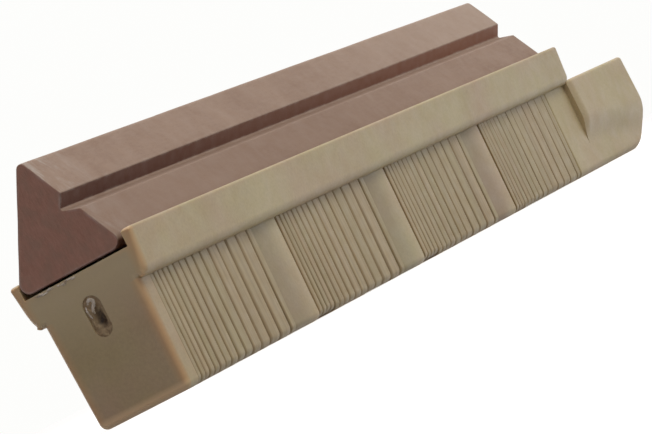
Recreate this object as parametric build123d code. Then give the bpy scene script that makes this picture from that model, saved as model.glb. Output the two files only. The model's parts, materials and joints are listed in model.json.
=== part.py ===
from build123d import *
import os

# A section of leaf-type door sweep. A carrier rail hangs under a triangular mounting bar.
# Four packs of thin leaves hang in the rail on one tie rod and rise and drop with the floor.
# Spacer blocks close each pack, and a spigot at the far end plugs into the next section.
# Frame: +X along the sweep, +Z up, origin at the centre of the footprint. Millimetres.

# Overall
RAIL_LENGTH = 178.5
TONGUE_LENGTH = 31.0
TOTAL_LENGTH = RAIL_LENGTH + TONGUE_LENGTH
X_START = -TOTAL_LENGTH / 2

# Carrier rail section
HEAD_BOTTOM_Z = 15.5
HEAD_TOP_Z = 22.2
HEAD_HALF_TOP = 10.0
HEAD_HALF_BOTTOM = 9.35
HEAD_CORNER_R = 1.3
LIP_EDGE_R = 0.45
CHANNEL_HALF = 8.5
CHANNEL_FLOOR_Z = 19.9
SEAT_LAND_HALF = 3.5
SEAT_Z = 20.25
SEAT_SETBACK = 1.6
POCKET_HALF = 8.0
POCKET_CEILING_Z = 18.1
END_WALL = 3.2
END_EDGE_R = 0.5

# Skirt section, shared by the end wall, the leaves, the blocks and the spigot
SKIRT_HALF_BOTTOM = 7.32
SKIRT_HALF_POCKET = 7.9
SKIRT_CORNER_R = 1.1

# Leaves
PACKS = 4
PACK_PITCH = 43.5
GROUPS_PER_PACK = 3
LEAVES_PER_GROUP = 5
BLOCK_LENGTH = 8.9
BLOCK_FAR_R = 0.9
LEAF_GAP = 0.12
LEAF_GROWTH = 1.095
LAST_LEAF = 1.7
LEAF_TOP_Z = 16.5
LEAF_TRAVEL = 1.5
LEAF_FOOT_TAPER = 0.11
LEAF_EDGE_SHARE = 0.11

# Tie rod and its nut
ROD_R = 1.0
ROD_Z = 12.7
ROD_CLEARANCE = 0.05
ROD_SLOT_MARGIN = 0.05
RECESS_WIDTH = 2.8
RECESS_HEIGHT = 5.8
RECESS_Z = 13.75
RECESS_DEPTH = 2.1
PLUG_SQUEEZE = 0.02
PLUG_FACE_X = 0.3
ROD_HEAD_R = 1.35
ROD_HEAD_THICKNESS = 0.8
ROD_END_PAST_RAIL = 1.5
NUT_SIZE = 4.4
NUT_THICKNESS = 2.0
NUT_CLEARANCE = 0.1
NUT_BORE_R = 0.97
NUT_FROM_RAIL_END = 1.9

# Clamp screws, driven from below into the mounting bar
SCREW_R = 1.1
SCREW_SPREAD = 4.0
SCREW_HEAD_R = 1.9
SCREW_HEAD_HEIGHT = 1.7
SCREW_SEAT_Z = 8.0
SCREW_TIP_Z = 25.0
SCREW_HOLE_CLEARANCE = 0.1
SCREW_BITE = 0.05
COUNTERBORE_R = 2.1
DRIVE_ACROSS = 1.6
DRIVE_DEPTH = 0.9
SPIGOT_SCREW_BACK = 6.1

# Mounting bar section: corners of the plain triangle and of the step groove
BAR_LENGTH = 176.3
BAR_LEFT_Y = 9.25
BAR_RIGHT_Y = -8.6
BAR_APEX_Y = 0.1
BAR_APEX_Z = 36.8
BAR_FOOT_R = 1.35
BAR_APEX_R = 0.8
GROOVE_SHARE_TOP = 0.405
GROOVE_SHARE_LOW = 0.58
GROOVE_ROOT_Y = -2.25
GROOVE_ROOT_Z = 28.0
PILOT_DEPTH = 5.2

# Spigot: the tongue past the rail
TONGUE_TOP_HALF = 9.2
TONGUE_TOP_Z = 16.1
TONGUE_FULL_Z = 8.6
TONGUE_BLEND_Z = 3.4
TONGUE_NOSE_Z = 8.0
TONGUE_HEEL = 22.0
TONGUE_MID_X = 28.5
TONGUE_MID_Z = 2.6
TONGUE_EDGE_R = 0.6


def across(points, x_from, x_to, radii=None):
    """Extrude the outline of (y, z) points along X. radii maps a point's number to its rounding."""
    face = make_face(Polyline(*points, close=True))
    for number, radius in (radii or {}).items():
        corner = face.vertices().sort_by_distance(Vector(*points[number]))[0]
        face = fillet(corner, radius)
    return extrude(Plane.YZ.offset(X_START + x_from) * face, amount=x_to - x_from)


def rod_hole(x_from, x_to, radius):
    """Cylinder along X at the tie rod's height."""
    plane = Plane.YZ.offset(X_START + x_from)
    return extrude(plane * Pos(0, ROD_Z) * Circle(radius), amount=x_to - x_from)


def upright(x, y, z_from, z_to, radius):
    """Vertical cylinder."""
    plane = Plane.XY.offset(z_from)
    return extrude(plane * Pos(X_START + x, y) * Circle(radius), amount=z_to - z_from)


def skirt_half(z):
    """Half width of the skirt at height z. The sides draw in towards the floor."""
    return SKIRT_HALF_BOTTOM + (SKIRT_HALF_POCKET - SKIRT_HALF_BOTTOM) * z / POCKET_CEILING_Z


def skirt(x_from, x_to, top):
    """Tapered skirt slab from the floor to the given height."""
    half = skirt_half(top)
    outline = [
        (-SKIRT_HALF_BOTTOM, 0),
        (SKIRT_HALF_BOTTOM, 0),
        (half, top),
        (-half, top),
    ]
    return across(outline, x_from, x_to, {0: SKIRT_CORNER_R, 1: SKIRT_CORNER_R})


def pack_length():
    """Length of one pack of leaves, from block to block."""
    return PACK_PITCH - BLOCK_LENGTH


def pack_start(pack):
    """Where a pack starts, measured from the near end."""
    return END_WALL + pack * PACK_PITCH


def leaf_spans():
    """Start and end of every leaf, from the start of its pack. The leaves thicken along the pack."""
    growing = GROUPS_PER_PACK * LEAVES_PER_GROUP - 1
    room = pack_length() - LAST_LEAF - LEAF_GAP * (growing + 2)
    first = room * (LEAF_GROWTH - 1) / (LEAF_GROWTH**growing - 1)
    thicknesses = [first * LEAF_GROWTH**i for i in range(growing)] + [LAST_LEAF]
    spans = []
    x = LEAF_GAP
    for thickness in thicknesses:
        spans.append((x, x + thickness))
        x += thickness + LEAF_GAP
    return spans


def leaf(x_from, x_to):
    """One leaf: a slab with an upright slot for the rod, eased edges and a foot that narrows."""
    thickness = x_to - x_from
    foot = LEAF_FOOT_TAPER * thickness
    low = Pos(X_START + (x_from + x_to - foot) / 2, 0)
    high = Plane.XY.offset(LEAF_TOP_Z) * Pos(X_START + (x_from + x_to) / 2, 0)
    depth = 2 * HEAD_HALF_TOP
    wedge = loft([low * Rectangle(thickness - foot, depth), high * Rectangle(thickness, depth)])
    slab = skirt(x_from, x_to, LEAF_TOP_Z) & wedge
    sides = slab.edges().filter_by(lambda e: e.length > LEAF_TOP_Z / 2 and abs(e.tangent_at(0.5).Z) > 0.9)
    slab = fillet(sides, LEAF_EDGE_SHARE * thickness)
    slot_width = 2 * (ROD_R + ROD_CLEARANCE)
    slot_length = 2 * (ROD_R + LEAF_TRAVEL + ROD_SLOT_MARGIN)
    outline = SlotOverall(slot_length, slot_width, rotation=90)
    slot = Plane.YZ.offset(X_START + x_from - 1) * Pos(0, ROD_Z) * outline
    return slab - extrude(slot, amount=thickness + 2)


def block_screw_x(pack):
    """Where the pair of screws behind a pack sits."""
    if pack == PACKS - 1:
        return RAIL_LENGTH - SPIGOT_SCREW_BACK
    return pack_start(pack) + pack_length() + BLOCK_LENGTH / 2


def screw_places():
    """Axes of all clamp screws as (x, y)."""
    return [(block_screw_x(pack), side * SCREW_SPREAD) for pack in range(PACKS) for side in (-1, 1)]


def cut_screw_holes(solid, places):
    """Counterbore and clearance hole for screws that pass through a block."""
    for x, y in places:
        solid -= upright(x, y, -1, SCREW_SEAT_Z, COUNTERBORE_R)
        solid -= upright(x, y, -1, POCKET_CEILING_Z + 1, SCREW_R + SCREW_HOLE_CLEARANCE)
    return solid


def carrier_rail():
    """Head with the bar's channel above and the leaves' pocket below, and the closed near end."""
    head = across(
        [
            (-HEAD_HALF_BOTTOM, HEAD_BOTTOM_Z),
            (HEAD_HALF_BOTTOM, HEAD_BOTTOM_Z),
            (HEAD_HALF_TOP, HEAD_TOP_Z),
            (-HEAD_HALF_TOP, HEAD_TOP_Z),
        ],
        0,
        RAIL_LENGTH,
        {0: HEAD_CORNER_R, 1: HEAD_CORNER_R, 2: LIP_EDGE_R, 3: LIP_EDGE_R},
    )
    channel = across(
        [
            (-CHANNEL_HALF, CHANNEL_FLOOR_Z),
            (-SEAT_LAND_HALF, CHANNEL_FLOOR_Z),
            (-SEAT_LAND_HALF, SEAT_Z),
            (SEAT_LAND_HALF, SEAT_Z),
            (SEAT_LAND_HALF, CHANNEL_FLOOR_Z),
            (CHANNEL_HALF, CHANNEL_FLOOR_Z),
            (CHANNEL_HALF, HEAD_TOP_Z + 1),
            (-CHANNEL_HALF, HEAD_TOP_Z + 1),
        ],
        -1,
        RAIL_LENGTH + 1,
    )
    pocket = across(
        [
            (-POCKET_HALF, 0),
            (POCKET_HALF, 0),
            (POCKET_HALF, POCKET_CEILING_Z),
            (-POCKET_HALF, POCKET_CEILING_Z),
        ],
        END_WALL,
        RAIL_LENGTH + 1,
    )
    setback = across(
        [
            (-CHANNEL_HALF, CHANNEL_FLOOR_Z),
            (CHANNEL_HALF, CHANNEL_FLOOR_Z),
            (CHANNEL_HALF, HEAD_TOP_Z + 1),
            (-CHANNEL_HALF, HEAD_TOP_Z + 1),
        ],
        -1,
        SEAT_SETBACK,
    )
    rail = head + skirt(0, END_WALL, CHANNEL_FLOOR_Z - 1) - pocket - channel - setback
    near = rail.faces().sort_by(Axis.X)[0]
    rim = near.outer_wire().edges().filter_by(lambda e: e.center().Z < CHANNEL_FLOOR_Z - 1)
    rail = fillet(rim, END_EDGE_R)
    recess = SlotOverall(RECESS_HEIGHT, RECESS_WIDTH, rotation=90)
    rail -= extrude(Plane.YZ.offset(X_START - 1) * Pos(0, RECESS_Z) * recess, amount=1 + RECESS_DEPTH)
    rail -= rod_hole(-1, END_WALL + 1, ROD_R + ROD_CLEARANCE)
    for x, y in screw_places():
        rail -= upright(x, y, POCKET_CEILING_Z - 1, SEAT_Z + 1, SCREW_R + SCREW_HOLE_CLEARANCE)
    return rail


def mounting_bar():
    """Triangular bar with one stepped groove along its slanted front face."""
    left = Vector(BAR_LEFT_Y, SEAT_Z)
    right = Vector(BAR_RIGHT_Y, SEAT_Z)
    apex = Vector(BAR_APEX_Y, BAR_APEX_Z)
    upper = apex + (right - apex) * GROOVE_SHARE_TOP
    lower = apex + (right - apex) * GROOVE_SHARE_LOW
    outline = [(left.X, left.Y), (right.X, right.Y), (apex.X, apex.Y)]
    bar = across(outline, 0, BAR_LENGTH, {0: BAR_FOOT_R, 1: BAR_FOOT_R, 2: BAR_APEX_R})
    out = (right - apex).rotate(Axis.Z, -90).normalized()
    groove = [
        (upper.X, upper.Y),
        (GROOVE_ROOT_Y, GROOVE_ROOT_Z),
        (lower.X, lower.Y),
        (lower.X + out.X, lower.Y + out.Y),
        (upper.X + out.X, upper.Y + out.Y),
    ]
    bar -= across(groove, -1, BAR_LENGTH + 1, {1: LIP_EDGE_R / 2})
    for x, y in screw_places():
        if x < BAR_LENGTH:
            bar -= upright(x, y, SEAT_Z - 1, SEAT_Z + PILOT_DEPTH, SCREW_R - SCREW_BITE)
    return bar


def spacer_block(pack):
    """Plain block that closes a pack and carries the tie rod and a pair of screws."""
    x_from = pack_start(pack) + pack_length()
    block = skirt(x_from, x_from + BLOCK_LENGTH, POCKET_CEILING_Z)
    far_rim = block.faces().sort_by(Axis.X)[-1].edges().filter_by(
        lambda edge: edge.center().Z < POCKET_CEILING_Z - END_EDGE_R
    )
    block = fillet(far_rim, BLOCK_FAR_R)
    block -= rod_hole(x_from - 1, x_from + BLOCK_LENGTH + 1, ROD_R + ROD_CLEARANCE)
    places = [(block_screw_x(pack), side * SCREW_SPREAD) for side in (-1, 1)]
    return cut_screw_holes(block, places)


def tongue():
    """Part of the spigot past the rail: wide at the top, rounded off at its lower far corner."""
    section = across(
        [
            (-SKIRT_HALF_BOTTOM, 0),
            (SKIRT_HALF_BOTTOM, 0),
            (skirt_half(TONGUE_BLEND_Z), TONGUE_BLEND_Z),
            (TONGUE_TOP_HALF, TONGUE_FULL_Z),
            (TONGUE_TOP_HALF, TONGUE_TOP_Z),
            (-TONGUE_TOP_HALF, TONGUE_TOP_Z),
            (-TONGUE_TOP_HALF, TONGUE_FULL_Z),
            (-skirt_half(TONGUE_BLEND_Z), TONGUE_BLEND_Z),
        ],
        RAIL_LENGTH,
        TOTAL_LENGTH,
        {0: SKIRT_CORNER_R, 1: SKIRT_CORNER_R, 4: TONGUE_EDGE_R, 5: TONGUE_EDGE_R},
    )
    heel = X_START + RAIL_LENGTH + TONGUE_HEEL
    nose = X_START + TOTAL_LENGTH
    mid = (X_START + RAIL_LENGTH + TONGUE_MID_X, TONGUE_MID_Z)
    start = X_START + RAIL_LENGTH
    side = make_face(
        [
            Line((start, 0), (heel, 0)),
            ThreePointArc((heel, 0), mid, (nose, TONGUE_NOSE_Z)),
            Line((nose, TONGUE_NOSE_Z), (nose, TONGUE_TOP_Z)),
            Line((nose, TONGUE_TOP_Z), (start, TONGUE_TOP_Z)),
            Line((start, TONGUE_TOP_Z), (start, 0)),
        ]
    )
    return section & extrude(Plane.XZ * side, amount=HEAD_HALF_TOP, both=True)


def end_spigot():
    """Last block and the tongue in one piece, with the slot for the rod's nut."""
    x_from = pack_start(PACKS - 1) + pack_length()
    spigot = skirt(x_from, RAIL_LENGTH, POCKET_CEILING_Z) + tongue()
    spigot -= rod_hole(x_from - 1, RAIL_LENGTH + ROD_END_PAST_RAIL + 1, ROD_R + ROD_CLEARANCE)
    half = NUT_SIZE / 2 + NUT_CLEARANCE
    slot_from = RAIL_LENGTH - NUT_FROM_RAIL_END - NUT_THICKNESS / 2 - NUT_CLEARANCE
    slot_to = slot_from + NUT_THICKNESS + 2 * NUT_CLEARANCE
    outline = [(-half, -1), (half, -1), (half, ROD_Z + half), (-half, ROD_Z + half)]
    spigot -= across(outline, slot_from, slot_to)
    places = [(block_screw_x(PACKS - 1), side * SCREW_SPREAD) for side in (-1, 1)]
    return cut_screw_holes(spigot, places)


def tie_rod():
    """Rod through every leaf, with a button head at the bottom of the recess in the end wall."""
    x_head = RECESS_DEPTH - ROD_HEAD_THICKNESS
    rod = rod_hole(x_head, RAIL_LENGTH + ROD_END_PAST_RAIL, ROD_R)
    return rod + rod_hole(x_head, RECESS_DEPTH, ROD_HEAD_R)


def end_plug():
    """Oblong plug pressed into the recess in front of the rod's head."""
    outline = SlotOverall(RECESS_HEIGHT + PLUG_SQUEEZE, RECESS_WIDTH + PLUG_SQUEEZE, rotation=90)
    face = Plane.YZ.offset(X_START + PLUG_FACE_X) * Pos(0, RECESS_Z) * outline
    return extrude(face, amount=RECESS_DEPTH - ROD_HEAD_THICKNESS - PLUG_FACE_X)


def rod_nut():
    """Square nut trapped in the spigot."""
    x_from = RAIL_LENGTH - NUT_FROM_RAIL_END - NUT_THICKNESS / 2
    half = NUT_SIZE / 2
    outline = [(-half, ROD_Z - half), (half, ROD_Z - half), (half, ROD_Z + half), (-half, ROD_Z + half)]
    nut = across(outline, x_from, x_from + NUT_THICKNESS)
    return nut - rod_hole(x_from - 1, x_from + NUT_THICKNESS + 1, NUT_BORE_R)


def clamp_screw(x, y):
    """Pan-head screw with a square drive, head down."""
    screw = upright(x, y, SCREW_SEAT_Z, SCREW_TIP_Z, SCREW_R)
    screw += upright(x, y, SCREW_SEAT_Z - SCREW_HEAD_HEIGHT, SCREW_SEAT_Z, SCREW_HEAD_R)
    drive = Plane.XY.offset(SCREW_SEAT_Z - SCREW_HEAD_HEIGHT) * Pos(X_START + x, y)
    return screw - extrude(drive * Rectangle(DRIVE_ACROSS, DRIVE_ACROSS), amount=DRIVE_DEPTH)


def leaf_group(pack, group):
    """Neighbouring leaves that rise and drop together, one solid each."""
    first = group * LEAVES_PER_GROUP
    spans = leaf_spans()[first:first + LEAVES_PER_GROUP]
    return [leaf(pack_start(pack) + a, pack_start(pack) + b) for a, b in spans]


def save(name, solids):
    """Write one node."""
    shape = solids[0] if len(solids) == 1 else Compound(children=list(solids))
    export_step(shape, f"parts/{name}.step")


def main():
    os.makedirs("parts", exist_ok=True)
    save("carrier_rail", [carrier_rail()])
    save("mounting_bar", [mounting_bar()])
    for pack in range(PACKS - 1):
        save(f"spacer_block_{pack + 1}", [spacer_block(pack)])
    save("end_spigot", [end_spigot()])
    save("tie_rod", [tie_rod()])
    save("rod_nut", [rod_nut()])
    save("end_plug", [end_plug()])
    save("clamp_screws", [clamp_screw(x, y) for x, y in screw_places()])
    for pack in range(PACKS):
        for group in range(GROUPS_PER_PACK):
            save(f"leaf_group_{pack + 1}{'abc'[group]}", leaf_group(pack, group))


main()
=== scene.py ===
"""Looks of a leaf-type door sweep: beige nylon rail, leaves and spigot, brown grooved mounting bar."""
import json
import math
import random
import bmesh
import bpy
from mathutils import Matrix, Vector, noise


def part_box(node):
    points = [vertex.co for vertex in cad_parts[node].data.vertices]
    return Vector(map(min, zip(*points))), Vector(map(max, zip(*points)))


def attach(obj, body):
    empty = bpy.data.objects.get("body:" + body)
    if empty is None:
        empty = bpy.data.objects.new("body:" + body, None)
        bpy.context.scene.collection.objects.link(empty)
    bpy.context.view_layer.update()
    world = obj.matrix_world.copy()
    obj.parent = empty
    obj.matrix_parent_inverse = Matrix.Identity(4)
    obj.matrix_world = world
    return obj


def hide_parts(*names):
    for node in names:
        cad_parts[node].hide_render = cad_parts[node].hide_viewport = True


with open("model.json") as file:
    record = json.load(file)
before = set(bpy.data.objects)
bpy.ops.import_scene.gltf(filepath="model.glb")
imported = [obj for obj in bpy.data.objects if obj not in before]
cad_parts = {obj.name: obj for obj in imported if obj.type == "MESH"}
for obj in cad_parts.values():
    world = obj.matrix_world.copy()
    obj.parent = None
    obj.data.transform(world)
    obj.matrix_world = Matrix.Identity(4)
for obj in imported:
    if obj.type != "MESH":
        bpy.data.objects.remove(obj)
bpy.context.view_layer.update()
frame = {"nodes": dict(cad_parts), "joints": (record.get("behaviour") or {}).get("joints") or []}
MM = 0.001
NODES = frame["nodes"]

# Places read from the frame
RAIL_LOW, RAIL_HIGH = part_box("carrier_rail")
BAR_LOW, BAR_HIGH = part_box("mounting_bar")
PLUG_LOW, PLUG_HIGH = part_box("end_plug")
ROD_LOW, ROD_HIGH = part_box("tie_rod")
NEAR_X = RAIL_LOW.x
FAR_X = RAIL_HIGH.x

# Section of the rail and of the skirt, close to the CAD part's
HEAD_BOTTOM_Z = 15.5 * MM
HEAD_HALF_TOP = 10.0 * MM
HEAD_HALF_BOTTOM = 9.35 * MM
HEAD_CORNER_R = 1.5 * MM
LIP_EDGE_R = 0.45 * MM
BACK_CORNER_RISE = 3.2 * MM
CHANNEL_EDGE_R = 0.3 * MM
CHANNEL_HALF = 8.5 * MM
CHANNEL_FLOOR_Z = 19.9 * MM
SEAT_LAND_HALF = 3.5 * MM
SEAT_Z = BAR_LOW.z
SEAT_SETBACK = 1.6 * MM
POCKET_HALF = 8.0 * MM
POCKET_CEILING_Z = 18.1 * MM
END_WALL = 3.2 * MM
SKIRT_HALF_BOTTOM = 7.32 * MM
SKIRT_HALF_POCKET = 7.9 * MM
SKIRT_SLOPE = (SKIRT_HALF_POCKET - SKIRT_HALF_BOTTOM) / POCKET_CEILING_Z
SKIRT_CORNER_R = 1.1 * MM
SKIRT_TOP_EDGE_R = 0.3 * MM

# Tie rod, its recess in the closed end, and the clamp screws' holes
ROD_HEAD_RATIO = 1.35
ROD_R = (ROD_HIGH.z - ROD_LOW.z) / 2 / ROD_HEAD_RATIO
ROD_Z = (ROD_HIGH.z + ROD_LOW.z) / 2
BORE_CLEARANCE = 0.05 * MM
RECESS_Z = (PLUG_LOW.z + PLUG_HIGH.z) / 2
RECESS_HEIGHT = 5.8 * MM
RECESS_WIDTH = 2.8 * MM
RECESS_DEPTH = 2.1 * MM
PLUG_BACK_X = NEAR_X + 1.28 * MM
SCREW_HOLE_R = 1.2 * MM
COUNTERBORE_R = 2.1 * MM
SCREW_SEAT_Z = 8.0 * MM
SCREW_GROUP_R = 3 * MM

# Spigot
SPIGOT_HALF = 9.2 * MM
SPIGOT_TOP_Z = 16.1 * MM
SPIGOT_END_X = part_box("end_spigot")[1].x
TONGUE_HEEL_X = FAR_X + 22 * MM
TONGUE_NOSE_Z = 8.0 * MM
TONGUE_EDGE_R = 0.6 * MM

# Mounting bar: corners of its triangle and of the step groove
BAR_LEFT_Y = 9.25 * MM
BAR_RIGHT_Y = -8.6 * MM
BAR_APEX = (0.1 * MM, 36.8 * MM)
GROOVE_ROOT = (-2.25 * MM, 28.0 * MM)
GROOVE_SHARE_TOP = 0.405
GROOVE_SHARE_LOW = 0.58
BAR_FOOT_R = 1.35 * MM
BAR_APEX_R = 0.8 * MM
GROOVE_EDGE_R = 0.35 * MM
GROOVE_ROOT_R = 0.3 * MM

# Leaves
LEAF_TOP_Z = 16.5 * MM
LEAF_FOOT_TAPER = 0.11
THIN_LEAVES_SHORT = 0.22 * MM

# How far the leaves' edges are worn in each pack, from the closed end
EDGE_WEAR = (1.0, 1.0, 0.75, 0.45)

# Roundings of the moulded ends
NEAR_END_R = 0.75 * MM
FAR_END_R = 0.45 * MM


# ---------------------------------------------------------------- outlines and swept meshes
def arc_points(before, corner, after, radius, steps):
    """Points of the arc that rounds a corner of an outline."""
    a = (before - corner).normalized()
    b = (after - corner).normalized()
    half = a.angle(b) / 2
    run = radius / math.tan(half)
    middle = corner + (a + b).normalized() * (radius / math.sin(half))
    start = corner + a * run - middle
    end = corner + b * run - middle
    turn = start.angle_signed(end)
    points = []
    for i in range(steps + 1):
        spin = Matrix.Rotation(-turn * i / steps, 2)
        points.append(middle + spin @ start)
    return points


def outline(points, radii, steps=6):
    """Closed outline of (y, z) points with the named corners rounded."""
    corners = [Vector(p) for p in points]
    result = []
    for i, corner in enumerate(corners):
        radius = radii.get(i, 0)
        if radius:
            result += arc_points(corners[i - 1], corner, corners[(i + 1) % len(corners)], radius, steps)
        else:
            result.append(corner)
    return result


def subdivide(points, longest):
    """The same outline with its long runs divided."""
    result = []
    for i, point in enumerate(points):
        following = points[(i + 1) % len(points)]
        parts = max(1, math.ceil((following - point).length / longest))
        result += [point.lerp(following, k / parts) for k in range(parts)]
    return result


def inset(points, amount, share=None):
    """The anticlockwise outline moved inward by amount, times each point's own share in Y and Z."""
    if amount == 0:
        return list(points)
    result = []
    count = len(points)
    for i, point in enumerate(points):
        a = (point - points[i - 1]).normalized()
        b = (points[(i + 1) % count] - point).normalized()
        normal_a, normal_b = Vector((-a.y, a.x)), Vector((-b.y, b.x))
        mean = (normal_a + normal_b).normalized()
        move = mean * amount / max(0.5, mean.dot(normal_a))
        if share:
            move = Vector((move.x * share(point)[0], move.y * share(point)[1]))
        result.append(point + move)
    return result


def anticlockwise(points):
    """The outline in anticlockwise order."""
    area = sum(points[i - 1].x * p.y - p.x * points[i - 1].y for i, p in enumerate(points))
    return list(points) if area > 0 else list(reversed(points))


def stations(x_from, x_to, near_r, far_r, step=None, steps=5):
    """Places along X with the inset of each, for a bar with rounded ends."""
    result = []
    for i in range(steps + 1):
        angle = math.pi / 2 * (1 - i / steps)
        if near_r:
            result.append((x_from + near_r * (1 - math.sin(angle)), near_r * (1 - math.cos(angle))))
    if not near_r:
        result.append((x_from, 0.0))
    start, end = result[-1][0], x_to - far_r
    parts = max(1, math.ceil((end - start) / step)) if step else 1
    result += [(start + (end - start) * i / parts, 0.0) for i in range(1, parts + 1)]
    for i in range(1, steps + 1):
        angle = math.pi / 2 * i / steps
        if far_r:
            result.append((end + far_r * math.sin(angle), far_r * (1 - math.cos(angle))))
    return result


def swept(name, points, places, share=None):
    """Mesh object that carries an outline along X."""
    loop = anticlockwise(points)
    bm = bmesh.new()
    rings = []
    for x, amount in places:
        ring = [bm.verts.new((x, p.x, p.y)) for p in inset(loop, amount, share)]
        rings.append(ring)
    count = len(loop)
    for ring, after in zip(rings, rings[1:]):
        for i in range(count):
            bm.faces.new((ring[i - 1], ring[i], after[i], after[i - 1]))
    bm.faces.new(list(reversed(rings[0])))
    bm.faces.new(rings[-1])
    bmesh.ops.recalc_face_normals(bm, faces=bm.faces)
    return finish_mesh(name, bm)


def finish_mesh(name, bm, sharp=38):
    """Turns a bmesh into a smooth-shaded object in the scene."""
    mesh = bpy.data.meshes.new(name)
    bm.to_mesh(mesh)
    bm.free()
    piece = bpy.data.objects.new(name, mesh)
    bpy.context.scene.collection.objects.link(piece)
    shade(piece, sharp)
    return piece


def shade(piece, sharp=38):
    """Smooth shading that keeps edges sharper than the given angle."""
    piece.data.shade_smooth()
    piece.data.set_sharp_from_angle(angle=math.radians(sharp))
    if "even" not in piece.modifiers:
        even = piece.modifiers.new("even", "WEIGHTED_NORMAL")
        even.mode = "FACE_AREA"
        even.weight = 80
        even.keep_sharp = True


def cut(piece, cutters):
    """Takes the cutters out of a piece and deletes them."""
    piece.modifiers.clear()
    for cutter in cutters:
        modifier = piece.modifiers.new("cut", "BOOLEAN")
        modifier.operation = "DIFFERENCE"
        modifier.solver = "EXACT"
        modifier.object = cutter
    bpy.context.view_layer.update()
    solid = piece.evaluated_get(bpy.context.evaluated_depsgraph_get())
    mesh = bpy.data.meshes.new_from_object(solid)
    piece.modifiers.clear()
    piece.data = mesh
    mesh.name = piece.name
    for cutter in cutters:
        bpy.data.objects.remove(cutter)
    shade(piece)


def round_cutter(low, high, radius, segments=40):
    """Cylinder between two points."""
    bm = bmesh.new()
    axis = high - low
    spin = Vector((0, 0, 1)).rotation_difference(axis.normalized()).to_matrix().to_4x4()
    place = Matrix.Translation((low + high) / 2) @ spin
    bmesh.ops.create_cone(bm, cap_ends=True, segments=segments, radius1=radius, radius2=radius,
                          depth=axis.length, matrix=place)
    return finish_mesh("cutter", bm)


def slot_outline(width, height, z):
    """Upright slot with round ends, centred on the row's middle plane."""
    half, run = width / 2, (height - width) / 2
    points = []
    for i in range(25):
        angle = math.pi * i / 24
        points.append(Vector((half * math.cos(angle), z + run + half * math.sin(angle))))
    for i in range(25):
        angle = math.pi + math.pi * i / 24
        points.append(Vector((half * math.cos(angle), z - run + half * math.sin(angle))))
    return points


def screw_axes():
    """Centres of the clamp screws, read from the frame's screw node."""
    found = {}
    for vert in NODES["clamp_screws"].data.vertices:
        key = None
        for centre in found:
            if (vert.co.xy - Vector(centre)).length < SCREW_GROUP_R:
                key = centre
        if key is None:
            found[tuple(vert.co.xy)] = [vert.co.xy.copy()]
        else:
            found[key].append(vert.co.xy.copy())
    middles = []
    for group in found.values():
        xs = [p.x for p in group]
        ys = [p.y for p in group]
        middles.append(Vector(((min(xs) + max(xs)) / 2, (min(ys) + max(ys)) / 2)))
    return middles


# ---------------------------------------------------------------- materials
class Nodes:
    """Short forms for building a material's node tree."""

    def __init__(self, name):
        self.material = bpy.data.materials.new(name)
        self.material.use_nodes = True
        self.tree = self.material.node_tree
        self.shader = self.tree.nodes["Principled BSDF"]
        self.place = self.tree.nodes.new("ShaderNodeTexCoord").outputs["Object"]

    def add(self, kind, **inputs):
        node = self.tree.nodes.new(kind)
        for key, value in inputs.items():
            self.put(node, key, value)
        return node

    def put(self, node, key, value):
        socket = node.inputs[key.replace("_", " ")] if isinstance(key, str) else node.inputs[key]
        if isinstance(value, bpy.types.NodeSocket):
            self.tree.links.new(value, socket)
        else:
            socket.default_value = value

    def stretch(self, scale, source=None):
        """Coordinates scaled along each axis."""
        node = self.add("ShaderNodeMapping", Scale=scale)
        self.tree.links.new(source or self.place, node.inputs["Vector"])
        return node.outputs["Vector"]

    def noise(self, scale, detail=4.0, roughness=0.5, vector=None, distortion=0.0):
        """Noise value with its coordinates in metres times scale."""
        node = self.add("ShaderNodeTexNoise", Scale=scale, Detail=detail, Roughness=roughness,
                        Distortion=distortion, Vector=vector or self.place)
        return node.outputs["Fac"]

    def ramp(self, value, low, high, start=0.0, end=1.0):
        """Value mapped from the range low..high to start..end, clamped."""
        node = self.add("ShaderNodeMapRange", Value=value)
        node.clamp = True
        for key, number in (("From Min", low), ("From Max", high), ("To Min", start), ("To Max", end)):
            node.inputs[key].default_value = number
        return node.outputs["Result"]

    def math(self, operation, a, b=None):
        node = self.tree.nodes.new("ShaderNodeMath")
        node.operation = operation
        for i, value in enumerate((a, b)):
            if value is not None:
                self.put(node, i, value)
        return node.outputs["Value"]

    def mix(self, factor, a, b, blend="MIX"):
        """Colour mix."""
        node = self.tree.nodes.new("ShaderNodeMix")
        node.data_type = "RGBA"
        node.blend_type = blend
        self.put(node, 0, factor)
        self.put(node, 6, a)
        self.put(node, 7, b)
        return node.outputs[2]

    def split(self, vector):
        node = self.tree.nodes.new("ShaderNodeSeparateXYZ")
        self.tree.links.new(vector, node.inputs[0])
        return node.outputs

    def normal(self):
        return self.tree.nodes.new("ShaderNodeNewGeometry").outputs["Normal"]

    def edges(self, radius):
        """One on rounded or sharp outer edges and zero on flat ground."""
        bevel = self.add("ShaderNodeBevel", Radius=radius)
        bevel.samples = 6
        dot = self.tree.nodes.new("ShaderNodeVectorMath")
        dot.operation = "DOT_PRODUCT"
        self.tree.links.new(bevel.outputs["Normal"], dot.inputs[0])
        self.tree.links.new(self.normal(), dot.inputs[1])
        return self.ramp(dot.outputs["Value"], 0.995, 0.90)

    def bump(self, height, strength, distance, normal=None):
        node = self.add("ShaderNodeBump", Height=height, Strength=strength, Distance=distance)
        if normal is not None:
            self.tree.links.new(normal, node.inputs["Normal"])
        return node.outputs["Normal"]


def rgb(red, green, blue):
    """Linear colour from display values of 0 to 255."""
    def linear(value):
        value = value / 255
        return value / 12.92 if value <= 0.04045 else ((value + 0.055) / 1.055) ** 2.4
    return (linear(red), linear(green), linear(blue), 1.0)


NYLON_LIGHT = rgb(176, 162, 122)
NYLON_DEEP = rgb(166, 149, 108)
NYLON_ROSE = rgb(172, 146, 118)
# Amber of the painted glow where light comes through thin nylon edges
NYLON_AMBER_GLOW = rgb(184, 132, 82)


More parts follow.
